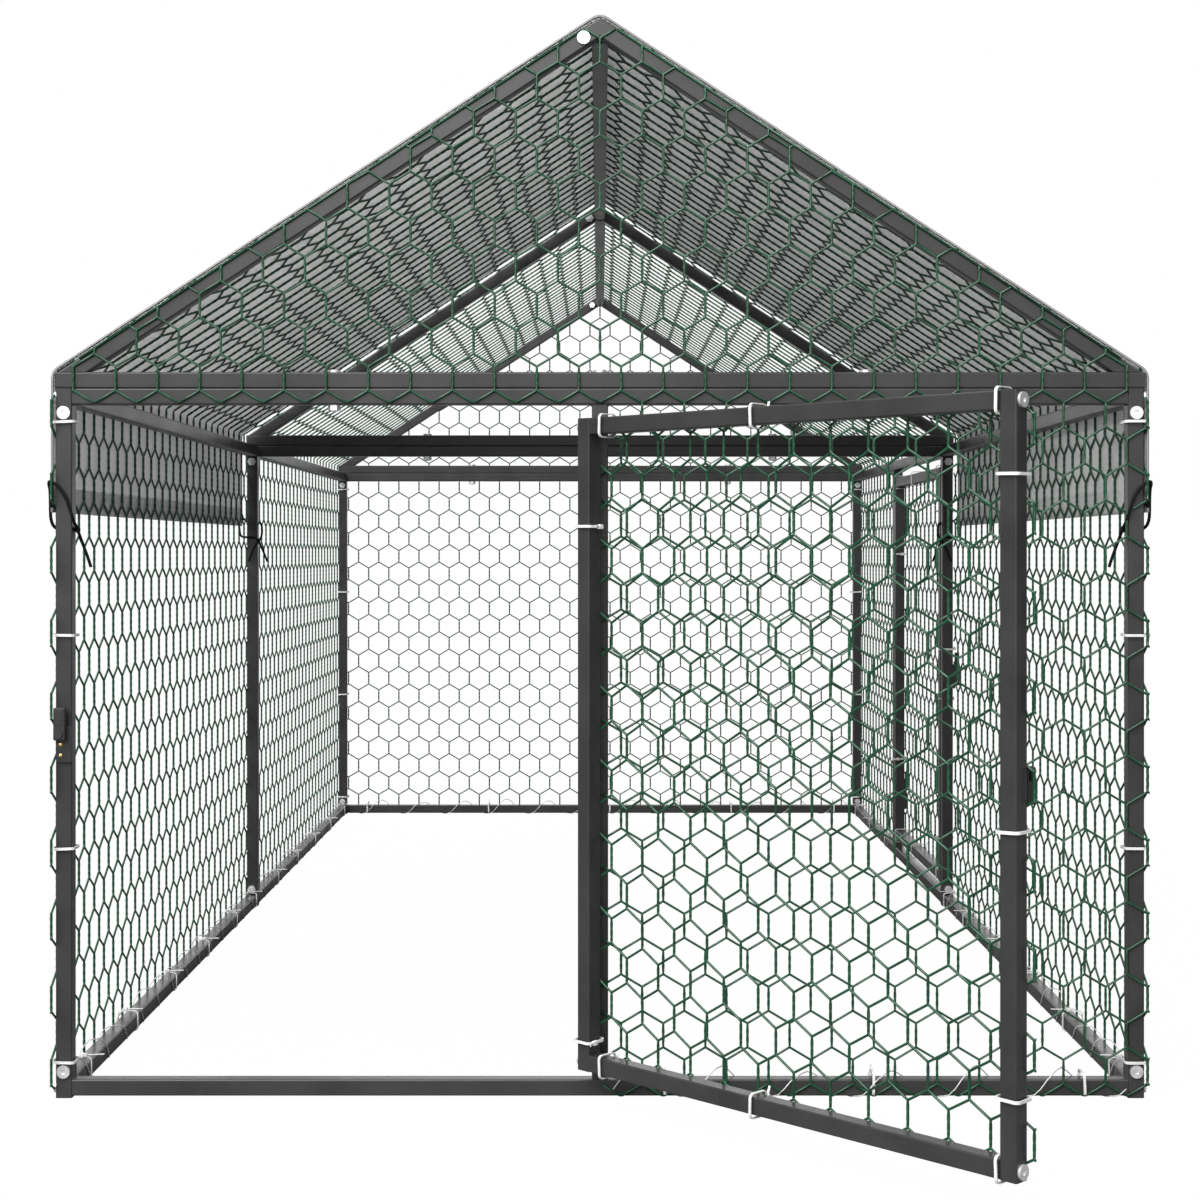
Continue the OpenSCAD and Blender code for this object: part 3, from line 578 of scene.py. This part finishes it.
# A black webbing tab wraps the cover's edge at each corner, sewn on to carry the tie cords.
webbing = coated("webbing", (0.003, 0.003, 0.003, 1), (0.008, 0.008, 0.008, 1), (0.7, 0.85),
                 shine=0.2, grain=700.0)
tab_t, tab_in, tab_out, tab_gap = 0.0007, 0.0026, 0.0052, 0.0006
tab_long, tab_turned, tab_foot, tab_high, tab_bend = 0.016, 0.0015, 0.0045, 0.023, 0.0009
for name, edge_y, back in (
    ("front", cover_low.y - tab_gap, 1),
    ("rear", cover_high.y + tab_gap, -1),
):
    for side, hand in (("left", -1), ("right", 1)):
        bend = rounded_route([
            Vector((hand * (half_w + out), edge_y + back * reach, cover_low.z + tab_foot))
            for out, reach in ((tab_in, tab_turned), (tab_in, 0), (tab_out, 0), (tab_out, tab_long))
        ], tab_bend, 4)
        bm = bmesh.new()
        foot = [bm.verts.new(point) for point in bend]
        line = [bm.edges.new(pair) for pair in zip(foot, foot[1:])]
        grown = bmesh.ops.extrude_edge_only(bm, edges=line)["geom"]
        top = [g for g in grown if isinstance(g, bmesh.types.BMVert)]
        bmesh.ops.translate(bm, vec=(0, 0, tab_high), verts=top)
        bmesh.ops.recalc_face_normals(bm, faces=bm.faces[:])
        tab = new_piece("cover_tab_" + name + "_" + side, bm, webbing, "run_frame")
        wall = tab.modifiers.new("thickness", "SOLIDIFY")
        wall.thickness = tab_t
        wall.offset = 0
        hems.append(tab)

# Tie cords: four short lengths of black braided cord, one at each corner of the cover, looped
# through a strap on the cloth and knotted round the post, with bare cut ends hanging.
# Routes are in mm: out from the posts' outer faces, back from the post's front and up from the hem.
cord_d = 0.003
hem_z = cover_low.z
front_cord_route = [
    (-13, 18.5, -19), (-9, 18.4, -18.2), (-4, 17.9, -17.2), (1.2, 15.6, -15.6),
    (4.6, 11.6, -12.6), (6.2, 8.3, -7), (6.6, 7.2, 1), (6.6, 6.8, 11), (6.7, 5.4, 21.5),
    (6.7, 2, 26.8), (4.8, -1.2, 28.2), (1.2, -2.8, 27), (-3, -3.6, 23.8), (-7, -3.8, 18.7),
    (-10.4, -3.8, 12.9), (-13, -3.8, 6.4), (-14.9, -3.7, 0.6), (-16.1, -2.4, -4.6),
    (-17, 0.4, -9), (-17.7, 4.2, -12.4), (-17.9, 8.4, -15.4), (-17.9, 12.6, -18.4),
    (-18.6, 16.2, -22.8), (-20.4, 18.2, -29), (-22.8, 19, -36), (-25.4, 19.4, -43.5),
    (-27.6, 19.6, -50.5),
]
mid_cord_route = [
    (-3.5, -7, -50), (-7.5, -7, -39), (-12, -6.4, -29), (-16.4, -3.4, -22.5), (-19.4, 0.2, -16.5),
    (-20.6, 4.2, -10), (-19.8, 8.8, -3.5), (-18, 13.4, 2.5), (-14.5, 17.6, 5.5), (-9, 18, 6.2),
    (-3.5, 17.9, 6.5), (1.5, 16.4, 7.2), (5, 12.5, 9), (6.6, 7, 11.5), (6.6, 0, 15),
    (6.6, -10, 19.5), (6.6, -20, 24), (6.6, -26.5, 25.5), (6.6, -31, 22), (6.6, -30, 15),
    (6.7, -26, 6), (6.8, -21, -3), (7, -16, -9.5), (6.4, -11.5, -13.5), (4.2, -7.2, -15),
    (1, -4.6, -15.4), (-4, -2.9, -15.5), (-10, -3, -15.8), (-15, -5.5, -17.5), (-19.5, -7, -25),
    (-24.5, -7, -36), (-30, -6, -50),
]


def braid_material(name):
    """Black braided cord: crossed strands along the cord's own length and round it."""
    material, tree, output = blank_material(name)
    along = put(tree, "UVMap", {"uv_map": "length"}).outputs[0]
    strands = []
    for turn in (40, -40):
        aim = put(tree, "Mapping", Vector=along, Rotation=(0, 0, math.radians(turn)))
        wave = put(tree, "TexWave", Vector=aim.outputs[0], Scale=420.0, Distortion=0.3)
        strands.append(wave.outputs["Fac"])
    braid = combine(tree, "MAXIMUM", *strands)
    colour = put(tree, "MixRGB", Fac=braid, Color1=(0.002, 0.002, 0.002, 1),
                 Color2=(0.007, 0.007, 0.007, 1))
    bump = put(tree, "Bump", Strength=0.5, Distance=0.0002, Height=braid)
    skin = put(tree, "BsdfPrincipled", Base_Color=colour.outputs[0], Roughness=0.8,
               Specular_IOR_Level=0.2, Normal=bump.outputs[0])
    tree.links.new(skin.outputs[0], output.inputs["Surface"])
    return material


cord_black = braid_material("cord_black")


def by_post(x, y, z, hand, post_y):
    """The place of a route's point, which is drawn for the right-hand side."""
    return Vector((hand * (half_w + x / 1000), post_y + y / 1000, hem_z + z / 1000))


def cord_piece(name, route, hand, post_y):
    """A tie cord as a tube along its route, and the route's points in their places."""
    points = [by_post(*point, hand, post_y) for point in route]
    line = bpy.data.curves.new(name, "CURVE")
    line.dimensions = "3D"
    spline = line.splines.new("BEZIER")
    spline.bezier_points.add(len(points) - 1)
    for knot, point in zip(spline.bezier_points, points):
        knot.co = point
        knot.handle_left_type = knot.handle_right_type = "AUTO"
    spline.resolution_u = 4
    line.bevel_depth = cord_d / 2
    line.bevel_resolution = 3
    line.use_fill_caps = True
    piece = bpy.data.objects.new(name, line)
    line.materials.append(cord_black)
    bpy.context.scene.collection.objects.link(piece)
    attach(piece, "run_frame")
    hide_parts(name.replace("_tie", "_cord"))
    return piece, points


knot_steps, knot_wide, knot_high, knot_step, knot_r = 24, 1.7, 1.9, 0.16, 0.0013


def knot_piece(name, middle, hand, post_y):
    """A half knot where the two ends cross: two turns of the same cord drawn tight."""
    bm = bmesh.new()
    turns = []
    for k in range(knot_steps + 1):
        angle = 4 * math.pi * k / knot_steps
        x = middle[0] + knot_wide * math.cos(angle)
        y = middle[1] + knot_step * (k - knot_steps // 2)
        z = middle[2] + knot_high * math.sin(angle)
        turns.append(by_post(x, y, z, hand, post_y))
    draw_wire(bm, turns, knot_r, 8, Vector((0, 1, 0)))
    bmesh.ops.recalc_face_normals(bm, faces=bm.faces[:])
    return new_piece(name, bm, webbing, "run_frame")


for side, hand in (("left", -1), ("right", 1)):
    for where, route, post_y, crossing in (
        ("front", front_cord_route, front_y, (-17.7, 8.4, -15.6)),
        ("mid", mid_cord_route, mid_y, (-17, -4.4, -20.8)),
    ):
        piece, points = cord_piece(where + "_" + side + "_tie", route, hand, post_y)
        knot = knot_piece(where + "_" + side + "_knot", crossing, hand, post_y)

# Hinges: two butt hinges to each door, pressed steel in satin black, screwed to the post and
# the door. Their knuckles turn on a pin, so the solids stay as they are.
hinge_black = coated("hinge_black", (0.014, 0.014, 0.015, 1), (0.03, 0.03, 0.031, 1), (0.3, 0.45),
                     grain=1400.0)
dress(hinge_black, "front_hinge_post_leaves", "front_hinge_door_leaves",
      "side_hinge_post_leaves", "side_hinge_door_leaves")

# Doors: each has the same netting on its outer face, tied on and left a little past its free
# stile. A shut door's own axes run from its hinge post along it, outward and up; the front
# door stands open on its hinges.
joints = {j["name"]: j for j in frame["record"]["behaviour"]["joints"]}
record_hinge = Vector(joints["front_door_hinge"]["pos_m"])
open_angle = math.radians(135)
swing = (Matrix.Translation(record_hinge) @ Matrix.Rotation(open_angle, 4, "Z")
         @ Matrix.Translation(-record_hinge))

stiles_low, stiles_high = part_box("front_door_stiles")
door_low, door_high = stiles_low.z, stiles_high.z
front_u = Matrix(((-1, 0, 0, -tube / 2), (0, -1, 0, front_y), (0, 0, 1, 0), (0, 0, 0, 1)))
side_u = Matrix(((0, 1, 0, half_w), (-1, 0, 0, side_door_post[0].y), (0, 0, 1, 0), (0, 0, 0, 1)))
hinge_gap, front_door_w, side_door_w = 0.0035, 0.4675, 0.4425
net_from_post, net_past, net_in = 0.0118, 0.0062, 0.0015
for name, width, first, place, body in (
    ("front_door_wire", front_door_w, 0.0312, swing @ front_u, "front_door"),
    ("side_door_wire", side_door_w, side_door_post[0].y - front_y - 0.0307, side_u, "side_door"),
):
    outline = box_outline(net_from_post, hinge_gap + width + net_past,
                          door_low + net_in, door_high - net_in)
    outer_face = place @ Matrix.Translation((0, net_out, 0))
    net_panel(name, outline, (first, first_row), outer_face, body)

# Latches: a black moulded lever turns on a plate riveted to the latch post with two brass
# rivets, and drops behind a keeper screwed to the door's free stile.
latch_black = coated("latch_black", (0.012, 0.012, 0.0125, 1), (0.024, 0.024, 0.0245, 1),
                     (0.34, 0.5), shine=0.4, grain=1100.0)
dress(latch_black, "front_latch_plate", "side_latch_plate")
rivet_brass = coated("rivet_brass", (0.5, 0.36, 0.14, 1), (0.68, 0.52, 0.24, 1), (0.24, 0.38),
                     metal=1.0, grain=1500.0)
pivot_z = joints["front_latch_turn"]["pos_m"][2]
pivot_in, lever_w, lever_len = 0.0095, 0.011, 0.0243
lever_low, lever_high = 0.0038, 0.009
grip_half, grip_from, grip_to = 0.3 * lever_w, 0.35 * lever_len, 0.9 * lever_len
grip_sunk, grip_rise = 0.0004, 0.0003
catch_far, catch_near, catch_back, catch_front = 0.013, 0.001, 0.002, 0.014
slot_back, slot_front, slot_gap, lip_foot = 0.0035, 0.0096, 0.0006, 0.002
rivet_r, rivet_high, rivet_seat, rivet_drops = 0.0021, 0.0012, 0.0034, (0.0097, 0.0197)
front_opening, side_opening = 0.4775, 0.4525


def draw_block(bm, low, high, round_by, steps=3):
    """A moulded block between two corners, with all its edges rounded; gives its vertices."""
    before = set(bm.verts)
    low, high = Vector(low), Vector(high)
    shape = Matrix.Translation((low + high) / 2) @ Matrix.Diagonal((*(high - low), 1))
    corners = bmesh.ops.create_cube(bm, size=1, matrix=shape)["verts"]
    bmesh.ops.bevel(bm, geom=edges_of(corners), offset=round_by, offset_type="OFFSET",
                    affect="EDGES", segments=steps, profile=0.5, material=-1)
    return [v for v in bm.verts if v not in before]


def draw_dome(bm, radius, height, place, steps=16):
    """A domed head on the XY plane, turned from a quarter of an arc about Z."""
    before = set(bm.verts)
    angles = [t * math.pi / 12 for t in range(7)]
    arc = [bm.verts.new((radius * math.cos(a), 0, height * math.sin(a))) for a in angles]
    line = [bm.edges.new(pair) for pair in zip(arc, arc[1:])]
    bmesh.ops.spin(bm, geom=arc + line, cent=(0, 0, 0), axis=(0, 0, 1), angle=2 * math.pi,
                   steps=steps, use_merge=True)
    made = [v for v in bm.verts if v not in before]
    bmesh.ops.remove_doubles(bm, verts=made, dist=0.00001)
    made = [v for v in bm.verts if v not in before]
    bmesh.ops.transform(bm, matrix=place, verts=made)


facing_out = Matrix.Rotation(-math.pi / 2, 4, "X")
for side, place, opening, width, swung in (
    ("front", front_u, front_opening, front_door_w, swing),
    ("side", side_u, side_opening, side_door_w, Matrix.Identity(4)),
):
    pivot_u = opening + pivot_in
    bm = bmesh.new()
    draw_block(bm, (pivot_u - lever_w / 2, lever_low, pivot_z - lever_w / 2),
               (pivot_u + lever_w / 2, lever_high, pivot_z + lever_len), 0.0011)
    draw_block(bm, (pivot_u - grip_half, lever_high - grip_sunk, pivot_z + grip_from),
               (pivot_u + grip_half, lever_high + grip_rise, pivot_z + grip_to), 0.0003, 2)
    bmesh.ops.transform(bm, matrix=place, verts=bm.verts[:])
    bmesh.ops.recalc_face_normals(bm, faces=bm.faces[:])
    new_piece(side + "_latch_handle", bm, latch_black, side + "_lever",
              [side + "_latch_lever"], smooth=False)

    keep_low, keep_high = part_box(side + "_keeper")
    edge = hinge_gap + width
    bm = bmesh.new()
    for back, front, foot, top, round_by in (
        (catch_back, catch_front, keep_low.z, pivot_z - lever_w / 2 - slot_gap, 0.0015),
        (catch_back, slot_back, keep_low.z + lip_foot, keep_high.z, 0.0006),
        (slot_front, catch_front, keep_low.z + lip_foot, keep_high.z, 0.0018),
    ):
        draw_block(bm, (edge - catch_far, back, foot), (edge - catch_near, front, top), round_by)
    bmesh.ops.transform(bm, matrix=swung @ place, verts=bm.verts[:])
    bmesh.ops.recalc_face_normals(bm, faces=bm.faces[:])
    new_piece(side + "_door_catch", bm, latch_black, side + "_door",
              [side + "_keeper"], smooth=False)

bm = bmesh.new()
for place, opening in ((front_u, front_opening), (side_u, side_opening)):
    for drop in rivet_drops:
        seat = Matrix.Translation((opening + pivot_in, rivet_seat, pivot_z - drop))
        draw_dome(bm, rivet_r, rivet_high, place @ seat @ facing_out)
bmesh.ops.recalc_face_normals(bm, faces=bm.faces[:])
new_piece("latch_rivet_heads", bm, rivet_brass, "run_frame", ["latch_rivets"])

# Bolts and nuts: M6 bolts with low heads and hexagonal nuts, bright zinc-plated steel. Their
# solids are exact, so they stay.
bright_zinc = coated("bright_zinc", (0.76, 0.765, 0.77, 1), (0.9, 0.905, 0.91, 1), (0.3, 0.42),
                     metal=0.75, patch=160.0, grain=1800.0)
dress(bright_zinc, "frame_bolts", "frame_nuts", "front_door_bolts", "side_door_bolts")

# Cable ties: white nylon bands with a square head and a short cut tail, drawn loosely round the
# tube and the net's wires, on the posts, on both doors and on the bottom rails.
band_w, band_t, band_bend, net_room = 0.0024, 0.001, 0.0045, 0.0034
band_inner = tube / 2 + net_room
head_half, head_sunk, head_rise, head_over = 0.0024, 0.0006, 0.0027, 0.0009
tail_from, tail_low, tail_high = 0.0016, 0.0008, 0.0016
tie_tilts, head_slips = (1.5, -2, 1, -2.5), (-0.004, 0.003, 0.0)
tie_white = coated("tie_white", (0.7, 0.7, 0.68, 1), (0.84, 0.84, 0.83, 1), (0.35, 0.5), patch=90.0)


def draw_tie(bm, place, slip, tail_long, tail_lift):
    """One cable tie round a tube along Z, with its head at +Y and its tail toward -X."""
    before = set(bm.verts)
    square = bmesh.ops.create_circle(bm, segments=4, radius=band_inner * math.sqrt(2),
                                     matrix=Matrix.Rotation(math.pi / 4, 4, "Z"))["verts"]
    grown = bmesh.ops.extrude_edge_only(bm, edges=edges_of(square))["geom"]
    top = [g for g in grown if isinstance(g, bmesh.types.BMVert)]
    bmesh.ops.translate(bm, vec=(0, 0, band_w), verts=top)
    walls = [g for g in grown if isinstance(g, bmesh.types.BMFace)]
    corners = [e for e in dict.fromkeys(e for f in walls for e in f.edges)
               if abs(e.verts[0].co.z - e.verts[1].co.z) > band_w / 2]
    bmesh.ops.bevel(bm, geom=corners, offset=band_bend, offset_type="OFFSET", affect="EDGES",
                    segments=4, profile=0.5, material=-1)
    band = [f for f in bm.faces if before.isdisjoint(f.verts)]
    bmesh.ops.solidify(bm, geom=band, thickness=band_t)
    draw_block(bm, (slip - head_half, band_inner - head_sunk, -head_over),
               (slip + head_half, band_inner + head_rise, band_w + head_over), 0.0005, 2)
    tail = draw_block(bm, (slip - tail_from - tail_long, band_inner + tail_low, 0),
                      (slip - tail_from, band_inner + tail_high, band_w), 0.0002, 1)
    tail_root = (slip - tail_from, band_inner + (tail_low + tail_high) / 2, 0)
    bmesh.ops.rotate(bm, cent=tail_root, matrix=Matrix.Rotation(-tail_lift, 3, "Z"), verts=tail)
    bmesh.ops.transform(bm, matrix=place, verts=[v for v in bm.verts if v not in before])


def tie_set(name, body, places, tail_long=0.0078, tail_lift=0.35):
    """Makes one piece of a set of ties on a body."""
    bm = bmesh.new()
    for k, place in enumerate(places):
        tilt = Matrix.Rotation(math.radians(tie_tilts[k % len(tie_tilts)]), 4, "Y")
        draw_tie(bm, place @ tilt, head_slips[k % len(head_slips)], tail_long, tail_lift)
    bmesh.ops.recalc_face_normals(bm, faces=bm.faces[:])
    return new_piece(name, bm, tie_white, body, smooth=False)


# On the middle posts the photograph shows one tie, on the right.
wall_x = half_w - tube / 2
post_tie_zs = (0.032, 0.228, 0.424, 0.620)
head_back, head_right = Matrix.Identity(4), Matrix.Rotation(-math.pi / 2, 4, "Z")
frame_places = []
for post_x, front_turn, mid_zs in ((-wall_x, head_back, ()), (wall_x, head_right, (0.363,))):
    for post_y, heights, turn in (
        (front_y, post_tie_zs, front_turn),
        (mid_y, mid_zs, head_right),
        (rear_y - tube, post_tie_zs, head_back),
    ):
        for z in heights:
            frame_places.append(Matrix.Translation((post_x, post_y + tube / 2, z)) @ turn)
along_x = Matrix.Rotation(math.pi / 2, 4, "Y")
rail_z = (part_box("front_bottom_rail")[0].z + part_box("front_bottom_rail")[1].z) / 2
floor_gap = 0.0008
tie_z = max(rail_z, band_inner + band_t + floor_gap)
for y, across_ties in (
    (front_y + tube / 2, (0.058, 0.2497, 0.4433)),
    (rear_y - tube / 2, (-0.4464, -0.2144, 0.0176, 0.2496, 0.4464)),
):
    for x in across_ties:
        frame_places.append(Matrix.Translation((x, y, tie_z)) @ along_x)
tie_set("frame_ties", "run_frame", frame_places)

rail_places = []
head_up_right = Matrix.Rotation(math.pi / 2, 4, "X")
head_up_left = Matrix.Rotation(-math.pi / 2, 4, "X") @ Matrix.Rotation(math.pi, 4, "Z")
front_bay_ties = (0.0585, 0.2485, 0.4385, 0.6285, 0.8185, 0.968)
past_door_ties = (1.548, 1.741, 1.934)
for rail_x, turn, along_ties in (
    (-wall_x, head_up_left, front_bay_ties + (1.161, 1.354) + past_door_ties),
    (wall_x, head_up_right, front_bay_ties + past_door_ties),
):
    for y in along_ties:
        rail_places.append(Matrix.Translation((rail_x, front_y + y, tie_z)) @ turn)
tie_set("side_rail_ties", "run_frame", rail_places, tail_long=0.017, tail_lift=0.03)

free_tie_zs = (0.0912, 0.291, 0.559)
first_rail_tie, middle_share, last_rail_gap = 0.03, 0.445, 0.0025
tail_from_hinge = head_right @ Matrix.Scale(-1, 4, (1, 0, 0))
for side, place, width, hinge_tie_zs in (
    ("front", swing @ front_u, front_door_w, (0.0566, 0.5234)),
    ("side", side_u, side_door_w, (0.161, 0.497)),
):
    free_u, hinge_u = hinge_gap + width - tube / 2, hinge_gap + tube / 2
    places = [place @ Matrix.Translation((free_u, -tube / 2, z)) for z in free_tie_zs]
    places += [place @ Matrix.Translation((hinge_u, -tube / 2, z)) @ tail_from_hinge
               for z in hinge_tie_zs]
    for rail in (door_low + tube / 2, door_high - tube / 2):
        for u in (hinge_gap + first_rail_tie, hinge_gap + middle_share * width,
                  hinge_gap + width - tube - last_rail_gap):
            places.append(place @ Matrix.Translation((u, -tube / 2, rail)) @ along_x)
    tie_set(side + "_door_ties", side + "_door", places)

# Lacing wire: thin galvanised wire wound loosely round the bottom rails and the net's lowest
# wires, which holds the netting down between the ties.
lace_r, lace_pitch, lace_points = 0.0006, 0.077, 14
lace_off, slack_least, slack_more, net_bulge = 0.0011, 0.003, 0.007, 0.0035
lace_grey = coated("lace_grey", (0.55, 0.55, 0.555, 1), (0.74, 0.74, 0.745, 1), (0.35, 0.5),
                   metal=0.2, patch=120.0)


def lacing(start, along, length, net_side):
    """A path wound round a rail: square on the tube, slack above it and on the net's side."""
    half = tube / 2 + lace_off
    steps = round(length / lace_pitch) * lace_points
    path = []
    for k in range(steps + 1):
        angle = 2 * math.pi * k / lace_points
        c, w = math.cos(angle), math.sin(angle)
        out = math.copysign(abs(c) ** 0.5, c) * half
        rise = math.copysign(abs(w) ** 0.5, w) * half
        slack = 0.5 + 0.5 * math.sin(1.7 * (k // lace_points) + 0.6)
        rise += max(w, 0) ** 2 * (slack_least + slack_more * slack)
        out += max(c, 0) ** 2 * net_bulge
        path.append(start + along * (length * k / steps) + net_side * out + Vector((0, 0, rise)))
    return path


bm = bmesh.new()
to_right, to_rear = Vector((1, 0, 0)), Vector((0, 1, 0))
lace_gap, bay_run = 0.02, mid_y - front_y - 0.025
past_door, past_door_run = side_door_post[1].y + 0.005, rear_y - tube - side_door_post[1].y - 0.01
for x, y, along, length, net_side in (
    (0.012, front_y + tube / 2, to_right, half_w - 0.03, -to_rear),
    (half_w - lace_gap, rear_y - tube / 2, -to_right, 2 * (half_w - lace_gap), to_rear),
    (-wall_x, front_y + lace_gap, to_rear, bay_run, -to_right),
    (-wall_x, mid_y + lace_gap, to_rear, bay_run, -to_right),
    (wall_x, front_y + lace_gap, to_rear, bay_run, to_right),
    (wall_x, past_door, to_rear, past_door_run, to_right),
):
    draw_wire(bm, lacing(Vector((x, y, rail_z)), along, length, net_side), lace_r, 6, along)
bmesh.ops.recalc_face_normals(bm, faces=bm.faces[:])
new_piece("lacing_wire", bm, lace_grey, "run_frame")
